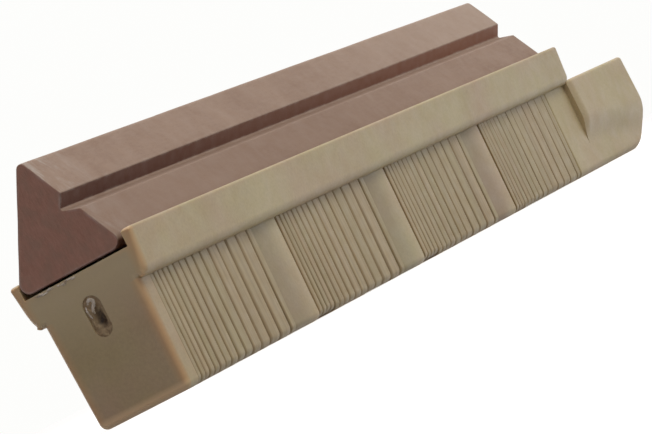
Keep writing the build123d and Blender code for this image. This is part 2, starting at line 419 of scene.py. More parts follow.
def nylon(name, tone=1.0, amber=0.0, with_painted_shade=False):
    """Moulded nylon: satin, faintly mottled; at the closed end, a painted amber glow where light comes
    through the thin rim, and painted light on its face.
    """
    n = Nodes(name)
    cloud = n.ramp(n.noise(70, 3), 0.35, 0.65)
    blush = n.ramp(n.noise(60, 3, vector=n.stretch((1.0, 1.6, 1.3))), 0.38, 0.66, 0.0, 0.75)
    colour = n.mix(cloud, NYLON_LIGHT, NYLON_DEEP)
    colour = n.mix(blush, colour, NYLON_ROSE)
    speck = n.ramp(n.noise(2600, 2, 0.6), 0.3, 0.7, 0.93, 1.05)
    # Painted shade and light on the spacer blocks: the vertex ramp darkens each block towards its near side
    # and lightens it at its far edge.
    if with_painted_shade:
        band = n.tree.nodes.new("ShaderNodeAttribute")
        band.attribute_name = "tone"
        speck = n.math("MULTIPLY", speck, n.ramp(band.outputs["Fac"], 0.0, 1.0, 0.76, 1.05))
    grey = n.tree.nodes.new("ShaderNodeCombineColor")
    for key in ("Red", "Green", "Blue"):
        n.put(grey, key, n.math("MULTIPLY", speck, tone))
    colour = n.mix(1.0, colour, grey.outputs["Color"], "MULTIPLY")
    x, y, z = n.split(n.place)
    width = n.math("ABSOLUTE", y)
    # Painted glow: amber on the rounded outer edges near the closed end, for light coming through the thin
    # nylon there.
    rim = n.ramp(x, NEAR_X + 1.7 * MM, NEAR_X + 0.9 * MM, amber * 0.12, amber)
    outer = n.math("MAXIMUM", n.ramp(width, 5.4 * MM, 6.4 * MM), n.ramp(z, 2.2 * MM, 1.2 * MM))
    neck = n.math("MULTIPLY", n.ramp(z, 14.4 * MM, 15.0 * MM), n.ramp(z, 17.6 * MM, 16.8 * MM))
    outer = n.math("MULTIPLY", outer, n.math("SUBTRACT", 1.0, neck))
    edge = n.math("MULTIPLY", n.edges(1.2 * MM), n.math("MULTIPLY", rim, outer))
    edge = n.math("MULTIPLY", edge, n.ramp(n.noise(240, 3), 0.25, 0.75, 0.6, 1.0))
    colour = n.mix(edge, colour, NYLON_AMBER_GLOW)
    if amber:
        front = n.ramp(x, NEAR_X + 1.0 * MM, NEAR_X + 0.2 * MM)
        # Painted light: the closed end's face is made lighter towards its top.
        upper = n.math("MULTIPLY", front, n.ramp(z, 10 * MM, 18 * MM, 0.0, 0.75))
        colour = n.mix(upper, colour, rgb(194, 180, 142))
        # Painted glow: warm amber near the outline of the closed end's face, for light coming through the
        # thin rim.
        half = n.math("ADD", n.ramp(z, 0, HEAD_BOTTOM_Z, SKIRT_HALF_BOTTOM, 7.8 * MM),
                      n.ramp(z, 15.6 * MM, 15.9 * MM, 0.0, 1.6 * MM))
        inside = n.math("MINIMUM", n.math("SUBTRACT", half, width), z)
        thin = n.math("MULTIPLY", front, n.ramp(inside, 1.7 * MM, 0.2 * MM, 0.0, 0.62))
        colour = n.mix(thin, colour, rgb(204, 162, 112))
        # Painted light: pale cream at the foot of the closed end's face, for light from below glowing through
        # the thin bottom.
        foot = n.math("MULTIPLY", front, n.ramp(z, 1.5 * MM, 0.3 * MM, 0.0, 0.8))
        colour = n.mix(foot, colour, rgb(240, 214, 168))
    n.put(n.shader, "Base Color", colour)
    n.put(n.shader, "Subsurface Weight", 0.22)
    n.put(n.shader, "Subsurface Radius", (1.0, 0.62, 0.30))
    n.put(n.shader, "Subsurface Scale", 1.1 * MM)
    n.put(n.shader, "IOR", 1.53)
    n.put(n.shader, "Roughness", n.ramp(n.noise(420, 4), 0.3, 0.7, 0.40, 0.56))
    broad = n.bump(n.noise(160, 2), 0.25, 0.12 * MM)
    fine = n.bump(n.noise(2300, 4, 0.6), 0.35, 0.025 * MM, broad)
    n.put(n.shader, "Normal", fine)
    return n.material


def leaf_nylon():
    """The leaves' nylon: each leaf has its own tone, and their flanks are ribbed by the mould."""
    n = Nodes("leaf_nylon")
    tone = n.tree.nodes.new("ShaderNodeAttribute")
    tone.attribute_name = "tone"
    cloud = n.ramp(n.noise(90, 3), 0.35, 0.65)
    colour = n.mix(cloud, NYLON_LIGHT, NYLON_DEEP)
    colour = n.mix(n.ramp(tone.outputs["Fac"], 0.0, 1.0, 0.0, 0.45), colour, NYLON_ROSE)
    colour = n.mix(n.ramp(tone.outputs["Fac"], 1.0, 0.0, 0.0, 0.35), colour, rgb(146, 131, 98))
    # Painted glow: faint amber on the leaves' rounded edges, for light coming through the thin nylon.
    edge = n.math("MULTIPLY", n.edges(0.30 * MM), n.ramp(n.noise(300, 3), 0.3, 0.7, 0.0, 0.22))
    colour = n.mix(edge, colour, NYLON_AMBER_GLOW)
    # Painted light: the leaves are paler in patches at their foot, where they stand in the bright light at
    # the floor.
    height = n.split(n.place)[2]
    foot = n.math("MULTIPLY", n.ramp(height, 1.6 * MM, 0.0, 0.0, 0.55), n.ramp(n.noise(500, 3), 0.35, 0.65))
    colour = n.mix(foot, colour, rgb(200, 184, 154))
    streak = n.noise(1.0, 3, 0.55, vector=n.stretch((2400, 900, 60)))
    colour = n.mix(n.ramp(streak, 0.38, 0.66, 0.0, 0.42), colour, rgb(132, 116, 84))
    n.put(n.shader, "Base Color", colour)
    n.put(n.shader, "Subsurface Weight", 0.22)
    n.put(n.shader, "Subsurface Radius", (1.0, 0.62, 0.30))
    n.put(n.shader, "Subsurface Scale", 0.8 * MM)
    n.put(n.shader, "IOR", 1.53)
    n.put(n.shader, "Roughness", n.ramp(n.noise(700, 4), 0.3, 0.7, 0.42, 0.60))
    drawn = n.bump(streak, 0.30, 0.05 * MM)
    n.put(n.shader, "Normal", n.bump(n.noise(2400, 4, 0.6), 0.35, 0.02 * MM, drawn))
    return n.material


BROWN_LIGHT = rgb(154, 130, 113)
BROWN_DARK = rgb(138, 112, 95)
BROWN_PALE = rgb(188, 176, 166)


def bar_brown():
    """Dull brown compound: mottled, rubbed pale at the edges, sawn on its end faces, with painted shade in
    the groove and painted light and shade along its top slant.
    """
    n = Nodes("bar_brown")
    cloud = n.ramp(n.noise(95, 5, 0.6), 0.32, 0.68)
    colour = n.mix(cloud, BROWN_LIGHT, BROWN_DARK)
    grain = n.noise(1.0, 4, 0.65, vector=n.stretch((420, 1800, 1800)))
    colour = n.mix(n.ramp(grain, 0.35, 0.75, 0.0, 0.40), colour, rgb(162, 139, 122))
    grit = n.ramp(n.noise(3800, 3, 0.7), 0.55, 0.78, 0.0, 0.35)
    colour = n.mix(grit, colour, rgb(92, 68, 58))
    facing = n.split(n.normal())
    end_face = n.ramp(n.math("ABSOLUTE", facing[0]), 0.75, 0.95)
    sawn = n.noise(1.0, 4, 0.7, vector=n.stretch((300, 2900, 900)))
    end_colour = n.mix(n.ramp(sawn, 0.3, 0.72), rgb(160, 117, 99), rgb(178, 135, 116))
    end_colour = n.mix(n.ramp(n.noise(420, 4, 0.6), 0.45, 0.62, 0.0, 0.55), end_colour, rgb(150, 122, 104))
    colour = n.mix(n.math("MULTIPLY", end_face, 0.85), colour, end_colour)
    along = n.split(n.place)[0]
    # Painted shade and painted bounce light: faces that look down, such as the step groove's overhanging
    # wall, are dark red-brown near the closed end and lighter brown towards the far end.
    under = n.ramp(facing[2], -0.10, -0.40)
    wall = n.mix(n.ramp(along, NEAR_X + 15 * MM, NEAR_X + 150 * MM), rgb(76, 34, 16), rgb(138, 92, 70))
    colour = n.mix(n.math("MULTIPLY", under, 0.9), colour, wall)
    rub = n.ramp(n.noise(330, 4, 0.6), 0.42, 0.62)
    worn = n.math("MULTIPLY", n.edges(0.7 * MM), n.math("MULTIPLY", rub, 0.7))
    colour = n.mix(worn, colour, BROWN_PALE)
    near = n.ramp(along, NEAR_X + 14 * MM, NEAR_X + 1 * MM)
    wisp = n.ramp(n.noise(1.0, 5, 0.7, vector=n.stretch((300, 150, 150)), distortion=1.2), 0.47, 0.66)
    top = n.ramp(facing[2], 0.15, 0.45)
    scuff = n.math("MULTIPLY", n.math("MULTIPLY", near, wisp), n.math("MULTIPLY", top, 0.35))
    colour = n.mix(scuff, colour, rgb(200, 196, 190))
    height = n.split(n.place)[2]
    # Painted light: the upper part of the top slant is lighter towards the far end.
    upper = n.math("MULTIPLY", top, n.ramp(height, 27.5 * MM, 29 * MM))
    far = n.math("MULTIPLY", upper, n.ramp(along, NEAR_X + 80 * MM, NEAR_X + 175 * MM, 0.0, 0.5))
    colour = n.mix(far, colour, rgb(186, 166, 150))
    # Painted shade: the lower part of the top slant is darker towards the closed end.
    lower = n.math("MULTIPLY", top, n.ramp(height, 29 * MM, 27.5 * MM))
    lower_slant_shade = n.math("MULTIPLY", lower, n.ramp(along, NEAR_X + 175 * MM, NEAR_X + 80 * MM, 0.0, 0.6))
    colour = n.mix(lower_slant_shade, colour, rgb(130, 105, 88))
    n.put(n.shader, "Base Color", colour)
    n.put(n.shader, "Roughness", n.ramp(n.noise(500, 4), 0.3, 0.7, 0.62, 0.80))
    n.put(n.shader, "Specular IOR Level", 0.35)
    sawn_bump = n.bump(n.math("MULTIPLY", sawn, end_face), 0.5, 0.10 * MM)
    broad = n.bump(cloud, 0.15, 0.08 * MM, sawn_bump)
    n.put(n.shader, "Normal", n.bump(n.noise(2600, 5, 0.7), 0.45, 0.04 * MM, broad))
    return n.material


def zinc():
    """Zinc-plated steel, brushed along the turning."""
    n = Nodes("zinc_steel")
    stain = n.ramp(n.noise(800, 4), 0.35, 0.7)
    n.put(n.shader, "Base Color", n.mix(stain, rgb(176, 174, 168), rgb(128, 124, 116)))
    n.put(n.shader, "Metallic", 1.0)
    brushed = n.noise(1.0, 3, vector=n.stretch((300, 3000, 3000)))
    n.put(n.shader, "Roughness", n.ramp(brushed, 0.3, 0.7, 0.28, 0.5))
    n.put(n.shader, "Normal", n.bump(n.noise(3000, 3), 0.25, 0.02 * MM))
    return n.material


def plug_with_painted_shade():
    """Torn filling of the recess: the nylon's own brown at its face, with painted shade making it dark deeper
    in the hole.
    """
    n = Nodes("plug_with_painted_shade")
    # Painted shade: the filling turns dark deeper in the hole.
    depth = n.ramp(n.split(n.place)[0], NEAR_X + 0.25 * MM, NEAR_X + 0.75 * MM)
    crust = n.ramp(n.noise(1500, 5, 0.7), 0.40, 0.66)
    face = n.mix(crust, rgb(160, 140, 106), rgb(128, 106, 74))
    hole = n.mix(crust, rgb(44, 31, 18), rgb(96, 76, 48))
    n.put(n.shader, "Base Color", n.mix(depth, face, hole))
    n.put(n.shader, "Roughness", 0.6)
    n.put(n.shader, "Normal", n.bump(n.noise(2200, 5, 0.7), 0.6, 0.08 * MM))
    return n.material


def flash_white():
    """Stress-whitened nylon flash."""
    n = Nodes("flash_white")
    cloud = n.ramp(n.noise(1100, 4), 0.35, 0.7)
    n.put(n.shader, "Base Color", n.mix(cloud, rgb(226, 219, 204), rgb(160, 144, 116)))
    n.put(n.shader, "Subsurface Weight", 0.3)
    n.put(n.shader, "Subsurface Radius", (1.0, 0.8, 0.6))
    n.put(n.shader, "Subsurface Scale", 0.5 * MM)
    n.put(n.shader, "Roughness", 0.55)
    n.put(n.shader, "Normal", n.bump(n.noise(2600, 3), 0.5, 0.05 * MM))
    return n.material


def paint(piece, material):
    """Gives a piece one material."""
    piece.data.materials.clear()
    piece.data.materials.append(material)


# ---------------------------------------------------------------- the pieces
def skirt_half(z):
    """Half width of the skirt at height z."""
    return SKIRT_HALF_BOTTOM + SKIRT_SLOPE * z


def skirt_outline(top, longest=2.5 * MM):
    """Tapered slab from the floor to the given height."""
    half = skirt_half(top)
    points = [(-SKIRT_HALF_BOTTOM, 0), (SKIRT_HALF_BOTTOM, 0), (half, top), (-half, top)]
    radii = {0: SKIRT_CORNER_R, 1: SKIRT_CORNER_R, 2: SKIRT_TOP_EDGE_R, 3: SKIRT_TOP_EDGE_R}
    return subdivide(outline(points, radii), longest)


def rail_outline():
    """Head, lips and skirt in one outline, with the channel for the bar."""
    skirt_top = skirt_half(HEAD_BOTTOM_Z)
    points = [
        (-SKIRT_HALF_BOTTOM, 0),
        (SKIRT_HALF_BOTTOM, 0),
        (skirt_top, HEAD_BOTTOM_Z),
        *back_corner(skirt_top + 0.08 * MM),
        (HEAD_HALF_TOP, RAIL_HIGH.z),
        (CHANNEL_HALF, RAIL_HIGH.z),
        (CHANNEL_HALF, CHANNEL_FLOOR_Z),
        (SEAT_LAND_HALF, CHANNEL_FLOOR_Z),
        (SEAT_LAND_HALF, SEAT_Z),
        (-SEAT_LAND_HALF, SEAT_Z),
        (-SEAT_LAND_HALF, CHANNEL_FLOOR_Z),
        (-CHANNEL_HALF, CHANNEL_FLOOR_Z),
        (-CHANNEL_HALF, RAIL_HIGH.z),
        (-HEAD_HALF_TOP, RAIL_HIGH.z),
        (-HEAD_HALF_BOTTOM, HEAD_BOTTOM_Z),
        (-skirt_top, HEAD_BOTTOM_Z),
    ]
    count = len(points)
    radii = {0: SKIRT_CORNER_R, 1: SKIRT_CORNER_R, count - 12: LIP_EDGE_R, count - 11: CHANNEL_EDGE_R,
             count - 4: CHANNEL_EDGE_R, count - 3: LIP_EDGE_R, count - 2: HEAD_CORNER_R}
    return outline(points, radii)


def back_corner(start):
    """Lower corner of the back lip: a long rounding from the underside up the side."""
    slope = (HEAD_HALF_TOP - HEAD_HALF_BOTTOM) / (RAIL_HIGH.z - HEAD_BOTTOM_Z)
    first = Vector((start, HEAD_BOTTOM_Z))
    corner = Vector((HEAD_HALF_BOTTOM, HEAD_BOTTOM_Z))
    last = corner + Vector((slope, 1)) * BACK_CORNER_RISE
    return [tuple(first.lerp(corner, t / 9).lerp(corner.lerp(last, t / 9), t / 9)) for t in range(10)]


def rail_share(point):
    """How much of the end rounding a point of the rail's outline takes, in Y and in Z."""
    margin = 0.01 * MM
    reach = CHANNEL_EDGE_R + margin
    if abs(point.x) <= CHANNEL_HALF + reach and point.y > HEAD_BOTTOM_Z:
        return (0.0, 0.5 if point.y > RAIL_HIGH.z - reach else 0.0)
    if point.y > HEAD_BOTTOM_Z - margin:
        low = min(1.0, max(0.0, (RAIL_HIGH.z - 0.5 * MM - point.y) / (4 * MM)))
        share = 0.58 + 0.72 * low
        return (share, share)
    return (1.0, 1.0)


def make_rail(material):
    """Carrier rail with its closed, rounded near end, pocket, recess and bores."""
    ends = stations(NEAR_X, FAR_X, NEAR_END_R, FAR_END_R)
    near_zone = NEAR_X + 1.5 * MM
    stretch = 1.3
    ends = [(NEAR_X + stretch * (x - NEAR_X) if x < near_zone else x, amount) for x, amount in ends]
    rail = swept("rail_shell", rail_outline(), ends, rail_share)
    beyond = 5 * MM
    pocket = [Vector(p) for p in ((-POCKET_HALF, -beyond), (POCKET_HALF, -beyond),
                                  (POCKET_HALF, POCKET_CEILING_Z), (-POCKET_HALF, POCKET_CEILING_Z))]
    cutters = [swept("cutter", pocket, stations(NEAR_X + END_WALL, FAR_X + beyond, 0, 0))]
    left, right = -SEAT_LAND_HALF - 0.2 * MM, CHANNEL_HALF - MM
    land = [Vector(p) for p in ((left, CHANNEL_FLOOR_Z), (right, CHANNEL_FLOOR_Z),
                                (right, SEAT_Z + MM), (left, SEAT_Z + MM))]
    cutters.append(swept("cutter", land, stations(NEAR_X - beyond, NEAR_X + SEAT_SETBACK, 0, 0)))
    recess = slot_outline(RECESS_WIDTH, RECESS_HEIGHT, RECESS_Z)
    cutters.append(swept("cutter", recess, stations(NEAR_X - beyond, NEAR_X + RECESS_DEPTH, 0, 0)))
    axis_low = Vector((NEAR_X, 0, ROD_Z))
    axis_high = Vector((NEAR_X + END_WALL + beyond, 0, ROD_Z))
    cutters.append(round_cutter(axis_low, axis_high, ROD_R + BORE_CLEARANCE))
    for centre in screw_axes():
        low = Vector((centre.x, centre.y, POCKET_CEILING_Z - MM))
        high = Vector((centre.x, centre.y, SEAT_Z + MM))
        cutters.append(round_cutter(low, high, SCREW_HOLE_R, 24))
    cut(rail, cutters)
    paint(rail, material)
    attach(rail, "carrier")
    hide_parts("carrier_rail")


def bar_outline():
    """Triangle with rounded corners and the step groove in its front slant."""
    left = Vector((BAR_LEFT_Y, SEAT_Z))
    right = Vector((BAR_RIGHT_Y, SEAT_Z))
    apex = Vector(BAR_APEX)
    upper = apex.lerp(right, GROOVE_SHARE_TOP)
    lower = apex.lerp(right, GROOVE_SHARE_LOW)
    points = [left, apex, upper, Vector(GROOVE_ROOT), lower, right]
    radii = {0: BAR_FOOT_R, 1: BAR_APEX_R, 2: GROOVE_EDGE_R,
             3: GROOVE_ROOT_R, 4: GROOVE_EDGE_R, 5: BAR_FOOT_R}
    return subdivide(outline(points, radii, 5), 1.2 * MM)


def make_bar(material):
    """Mounting bar: long, slightly uneven surfaces and edges that are rubbed and nicked."""
    ends = stations(BAR_LOW.x, BAR_HIGH.x, 0.18 * MM, 0.18 * MM, 1.4 * MM, 3)
    bar = swept("brown_bar", bar_outline(), ends)
    mesh = bar.data
    mesh.update()
    for vert in mesh.vertices:
        normal = vert.normal.copy()
        wave = noise.noise(Vector((vert.co.x * 60, vert.co.y * 260, vert.co.z * 260)))
        nick = noise.noise(Vector((vert.co.x * 900, vert.co.y * 400, vert.co.z * 400)))
        depth = 0.035 * MM * (wave - 1) - 0.10 * MM * max(0.0, nick - 0.45)
        if vert.co.z > SEAT_Z + 0.3 * MM:
            vert.co += normal * depth
    paint(bar, material)
    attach(bar, "carrier")
    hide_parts("mounting_bar")


def leaf_spans(node):
    """X span of each separate solid in a node, in order."""
    bm = bmesh.new()
    bm.from_mesh(NODES[node].data)
    bmesh.ops.remove_doubles(bm, verts=bm.verts, dist=0.002 * MM)
    spans = []
    waiting = set(bm.verts)
    while waiting:
        front = [waiting.pop()]
        xs = []
        while front:
            vert = front.pop()
            xs.append(vert.co.x)
            for edge in vert.link_edges:
                other = edge.other_vert(vert)
                if other in waiting:
                    waiting.remove(other)
                    front.append(other)
        spans.append((min(xs), max(xs)))
    bm.free()
    return sorted(spans)


def foot_flat(point):
    """The leaves' edge rounding is slight at the foot."""
    return (1.0, 1.0 if point.y > MM else 0.35)


def leaf_mesh(span, seed, short, soft):
    """One leaf with soft edges and a little of its own lean, bow and length."""
    dice = random.Random(seed)
    x_from, x_to = span
    thick = x_to - x_from
    edge = soft * (0.15 * MM + 0.085 * thick)
    foot = LEAF_FOOT_TAPER * thick
    lift = short + dice.uniform(0.0, 0.10) * MM
    lean = dice.uniform(-0.05, 0.05) * MM
    side = dice.uniform(-0.05, 0.02) * MM
    phase = dice.uniform(0, 50)
    leaf = swept("leaf", skirt_outline(LEAF_TOP_Z), stations(x_from, x_to, edge, edge, steps=4), foot_flat)
    for vert in leaf.data.vertices:
        height = vert.co.z / LEAF_TOP_Z
        share = (vert.co.x - x_from) / thick
        vert.co.x -= foot * (1 - height) * share
        vert.co.x += 0.6 * lean * math.sin(math.pi * height) * min(1, share + 0.4)
        bow = noise.noise(Vector((phase, vert.co.z * 130, vert.co.y * 60)))
        vert.co.y -= math.copysign(1, vert.co.y) * (0.03 * MM * (1 + bow) + abs(side))
        if vert.co.z < 2 * MM:
            vert.co.z += lift * (1 - vert.co.z / (2 * MM))
    tone = leaf.data.attributes.new("tone", "FLOAT", "POINT")
    value = dice.random()
    for item in tone.data:
        item.value = value
    return leaf


def join(name, pieces):
    """One object made of several meshes."""
    bm = bmesh.new()
    tone = bm.verts.layers.float.new("tone")
    for piece in pieces:
        start = len(bm.verts)
        bm.from_mesh(piece.data)
        bm.verts.ensure_lookup_table()
        source = piece.data.attributes.get("tone")
        for i, vert in enumerate(list(bm.verts)[start:]):
            vert[tone] = source.data[i].value if source else 0.5
        bpy.data.objects.remove(piece)
    return finish_mesh(name, bm, 30)


def make_leaves(material):
    """All leaf groups, each one mesh of five leaves with the rod's slot through them."""
    travel = max(j["range_m"][1] for j in frame["joints"])
    slot_height = 2 * (ROD_R + travel + BORE_CLEARANCE)
    for number, name in enumerate(sorted(n for n in NODES if n.startswith("leaf_group"))):
        tag = name.rsplit("_", 1)[1]
        leaves = []
        for i, span in enumerate(leaf_spans(name)):
            first_ones = tag[1] == "a" and tag[0] in "23" and i < 4
            soft = EDGE_WEAR[int(tag[0]) - 1]
            short = THIN_LEAVES_SHORT if first_ones else 0.0
            leaves.append(leaf_mesh(span, 100 * number + i, short, soft))
        group = join("leaves_" + tag, leaves)
        low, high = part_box(name)
        hole = slot_outline(2 * (ROD_R + BORE_CLEARANCE), slot_height, ROD_Z)
        cut(group, [swept("cutter", hole, stations(low.x - MM, high.x + MM, 0, 0))])
        paint(group, material)
        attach(group, "leaves_" + tag)
        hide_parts(name)


def foot_share(_point):
    """A block's ends draw in at its sides, and far less at its foot."""
    return (1.0, 0.4)


def make_block(node, material):
    """Spacer block: near edges crisp, far edges rounded, with its screw counterbores and rod bore."""
    low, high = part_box(node)
    soft = []
    for i in range(8):
        angle = i * math.pi / 16
        soft.append((high.x - 2.0 * MM * (1 - math.sin(angle)), 0.42 * MM * (1 - math.cos(angle))))
    rise = [(low.x, 0.60 * MM), (low.x + 0.10 * MM, 0.42 * MM), (low.x + 0.25 * MM, 0.34 * MM)]
    for i in range(1, 8):
        share = i / 8
        rise.append((low.x + 0.25 * MM + share * (high.x - low.x - 2.6 * MM), 0.34 * MM * (1 - share) ** 1.5))
    ends = rise + soft + [(high.x, 0.75 * MM)]
    block = swept(node.replace("spacer_", "pale_"), skirt_outline(high.z), ends, foot_share)
    bore_block(block, low.x, high.x)
    # Painted shade and light: the tone ramp runs from dark at the block's near side to light at its far edge.
    tone = block.data.attributes.new("tone", "FLOAT", "POINT")
    for i, vert in enumerate(block.data.vertices):
        share = (vert.co.x - low.x) / (high.x - low.x)
        tone.data[i].value = smooth_step(0.25, 0.9, share)
    paint(block, material)
    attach(block, "carrier")
    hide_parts(node)


def bore_block(block, x_from, x_to):
    """Cuts the counterbores, screw holes and the rod's bore that fall between two places."""
    rod_low = Vector((x_from - MM, 0, ROD_Z))
    rod_high = Vector((x_to + MM, 0, ROD_Z))
    cutters = [round_cutter(rod_low, rod_high, ROD_R + BORE_CLEARANCE)]
    holes = ((-MM, SCREW_SEAT_Z, COUNTERBORE_R),
             (SCREW_SEAT_Z - 0.5 * MM, POCKET_CEILING_Z + 0.9 * MM, SCREW_HOLE_R))
    for centre in screw_axes():
        if x_from < centre.x < x_to:
            for low_z, high_z, radius in holes:
                cutters.append(round_cutter(Vector((centre.x, centre.y, low_z)),
                                            Vector((centre.x, centre.y, high_z)), radius))
    cut(block, cutters)


def smooth_step(low, high, value):
    """Zero below low, one above high, and an even S between."""
    share = min(1.0, max(0.0, (value - low) / (high - low)))
    return share * share * (3 - 2 * share)


def tongue_half(x, z):
    """Half width of the tongue: wide above, drawn in to the block's sides below, lower at its far end."""
    along = smooth_step(FAR_X, SPIGOT_END_X, x)
    blend = (4.6 - 2.8 * along) * MM
    full = (9.6 - 1.4 * along) * MM
    start = 0.60 + 0.40 * math.sin(math.pi / 2 * min(1.0, (x - FAR_X) / (1.6 * MM)))
    own = skirt_half(z)
    return own + (SPIGOT_HALF - own) * smooth_step(blend, full, z) * start


def make_spigot(material):
    """End block and tongue; the tongue's lower far corner is rounded off and its rims are soft."""
    low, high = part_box("end_spigot")
    body = swept("pale_spigot_block", skirt_outline(POCKET_CEILING_Z),
                 stations(low.x, FAR_X, 0.3 * MM, 0, steps=4))
    nut_low, nut_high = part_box("rod_nut")
    pad = 0.1 * MM
    slot = [Vector(p) for p in ((nut_low.y - pad, -MM), (nut_high.y + pad, -MM),
                                (nut_high.y + pad, nut_high.z + pad), (nut_low.y - pad, nut_high.z + pad))]
    cut(body, [swept("cutter", slot, stations(nut_low.x - pad, nut_high.x + pad, 0, 0))])
    bore_block(body, low.x, FAR_X)
    half = skirt_half(SPIGOT_TOP_Z)
    corners = [(-SKIRT_HALF_BOTTOM, 0), (SKIRT_HALF_BOTTOM, 0), (half, SPIGOT_TOP_Z), (-half, SPIGOT_TOP_Z)]
    radii = {0: SKIRT_CORNER_R, 1: SKIRT_CORNER_R, 2: TONGUE_EDGE_R, 3: TONGUE_EDGE_R}
    section = subdivide(outline(corners, radii), 0.7 * MM)
    tongue = swept("pale_tongue", section, stations(FAR_X, high.x, 0, 0.5 * MM, 0.4 * MM, 6))
    soft = 1.5 * MM
    for vert in tongue.data.vertices:
        side = vert.co.y / skirt_half(vert.co.z)
        run = (vert.co.x - TONGUE_HEEL_X) / (high.x - TONGUE_HEEL_X)
        if run > 0:
            floor = TONGUE_NOSE_Z * (1 - math.sqrt(max(0.0, 1 - run ** 2.1)))
            if vert.co.z < floor + soft:
                vert.co.z = floor + soft * vert.co.z / (floor + soft)
        vert.co.y = side * tongue_half(vert.co.x, vert.co.z)
    rod_low = Vector((FAR_X - MM, 0, ROD_Z))
    rod_high = Vector((ROD_HIGH.x + 0.3 * MM, 0, ROD_Z))
    cut(tongue, [round_cutter(rod_low, rod_high, ROD_R + BORE_CLEARANCE)])
    for piece in (body, tongue):
        paint(piece, material)
        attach(piece, "carrier")
    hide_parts("end_spigot")


def plug_depth(y, z):
    """Depth of the torn plug's face below the end wall at a place in the recess."""
    hole = math.exp(-((y + 0.25 * MM) / (0.62 * MM)) ** 2 - ((z + 0.35 * MM) / (1.25 * MM)) ** 2)
    crag = noise.noise(Vector((y * 1700, z * 1700, 3.1)))
    crag += 0.6 * noise.noise(Vector((y * 4600, z * 4600, 9.7)))
    return min(1.25 * MM, max(0.05 * MM, 0.14 * MM + 1.0 * MM * hole + 0.20 * MM * crag))


def make_plug(material, pale):
    """Torn plug in the recess, with a ragged hole and the pale shreds that curl over it."""
    bm = bmesh.new()
    rings, turns = 22, 80
    half, run = RECESS_WIDTH / 2, (RECESS_HEIGHT - RECESS_WIDTH) / 2
    grid = []
    for r in range(rings + 1):
        ring = []
        for t in range(turns):
            angle = 2 * math.pi * (t + 0.5) / turns
            y = half * math.cos(angle) * r / rings
            z = (half * math.sin(angle) + math.copysign(run, math.sin(angle))) * r / rings
            ring.append(bm.verts.new((NEAR_X + plug_depth(y, z), y, RECESS_Z + z)))
            if r == 0:
                break
        grid.append(ring)
    for t in range(turns):
        bm.faces.new((grid[0][0], grid[1][t], grid[1][(t + 1) % turns]))
    back = [bm.verts.new((PLUG_BACK_X, vert.co.y, vert.co.z)) for vert in grid[-1]]
    for inner, outer in zip(grid[1:], grid[2:] + [back]):
        for t in range(turns):
            n = (t + 1) % turns
            bm.faces.new((inner[t], outer[t], outer[n], inner[n]))
    bm.faces.new(back)
    bmesh.ops.recalc_face_normals(bm, faces=bm.faces)
    plug = finish_mesh("torn_plug", bm, 50)
    paint(plug, material)
    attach(plug, "carrier")
    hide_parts("end_plug")
    top = RECESS_Z + RECESS_HEIGHT / 2
    make_shred("shred_top", ((0.55, -1.05), (0.3, -0.55), (-0.2, -0.5), (-0.45, -0.95), (-0.05, -1.45),
                             (0.25, -1.95), (0.15, -2.45)),
               (0.14, 0.24, 0.26, 0.22, 0.26, 0.2, 0.08), top, 11, pale)
    make_shred("shred_side", ((1.0, -1.15), (1.08, -1.75), (0.98, -2.35), (0.8, -2.9)),
               (0.08, 0.15, 0.15, 0.06), top, 12, pale)


def make_shred(name, path, radii, top, seed, pale):
    """Ragged strand of flash along a path of (y, z) points, in millimetres from the recess's top."""
    count, turns = 26, 12
    bm = bmesh.new()
    rings = []
    for i in range(count + 1):
        place = i / count * (len(path) - 1)
        k = min(int(place), len(path) - 2)
        share = place - k
        y, z = (path[k][j] * (1 - share) + path[k + 1][j] * share for j in (0, 1))
        radius = radii[k] * (1 - share) + radii[k + 1] * share
        along = Vector((0, path[k + 1][0] - path[k][0], path[k + 1][1] - path[k][1])).normalized()
        across = Vector((1, 0, 0)).cross(along)
        ring = []
        for t in range(turns):
            angle = 2 * math.pi * t / turns
            wide, deep = math.cos(angle), math.sin(angle)
            reach = radius * (1 + 0.75 * noise.noise(Vector((seed + i * 0.55, wide * 1.3, deep * 1.3))))
            point = across * wide * reach + Vector((0.55 * deep * reach, 0, 0))
            ring.append(bm.verts.new(Vector((NEAR_X + 0.12 * MM, y * MM, top + z * MM)) + point * MM))
        rings.append(ring)
    for ring, after in zip(rings, rings[1:]):
        for t in range(turns):
            n = (t + 1) % turns
            bm.faces.new((ring[t], ring[n], after[n], after[t]))
    bm.faces.new(rings[0])
    bm.faces.new(rings[-1])
    bmesh.ops.recalc_face_normals(bm, faces=bm.faces)
    shred = finish_mesh(name, bm, 60)
    paint(shred, pale)
    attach(shred, "carrier")


# Place across the closed end and width of each flake, in millimetres
FLAKES = ((6.6, 0.16), (6.0, 0.42), (5.2, 0.30), (4.4, 0.36), (3.0, 0.22),
          (2.2, 0.34), (1.4, 0.48), (0.6, 0.26), (5.6, 0.3))


def make_flake(name, centre, size, seed, pale):
    """Small torn flake of flash on the closed end, under the bar."""
    dice = random.Random(seed)
    bm = bmesh.new()
    bmesh.ops.create_icosphere(bm, subdivisions=3, radius=1)
    drift = dice.uniform(0, 30)
    for vert in bm.verts:
        ragged = 1 + 0.55 * noise.noise(vert.co * 2.3 + Vector((drift, 0, 0)))
        vert.co = Vector(centre) + Vector([vert.co[k] * ragged * size[k] for k in range(3)])
    flake = finish_mesh(name, bm, 60)
    paint(flake, pale)
    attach(flake, "carrier")


# ---------------------------------------------------------------- light and camera
CAMERA_AXES = ((0.3632, -0.8107, -0.4592), (0.1714, -0.4264, 0.8882), (-0.9158, -0.4013, -0.0159))
CAMERA_PLACE = Vector((-528.35, -220.7, 4.0)) * MM


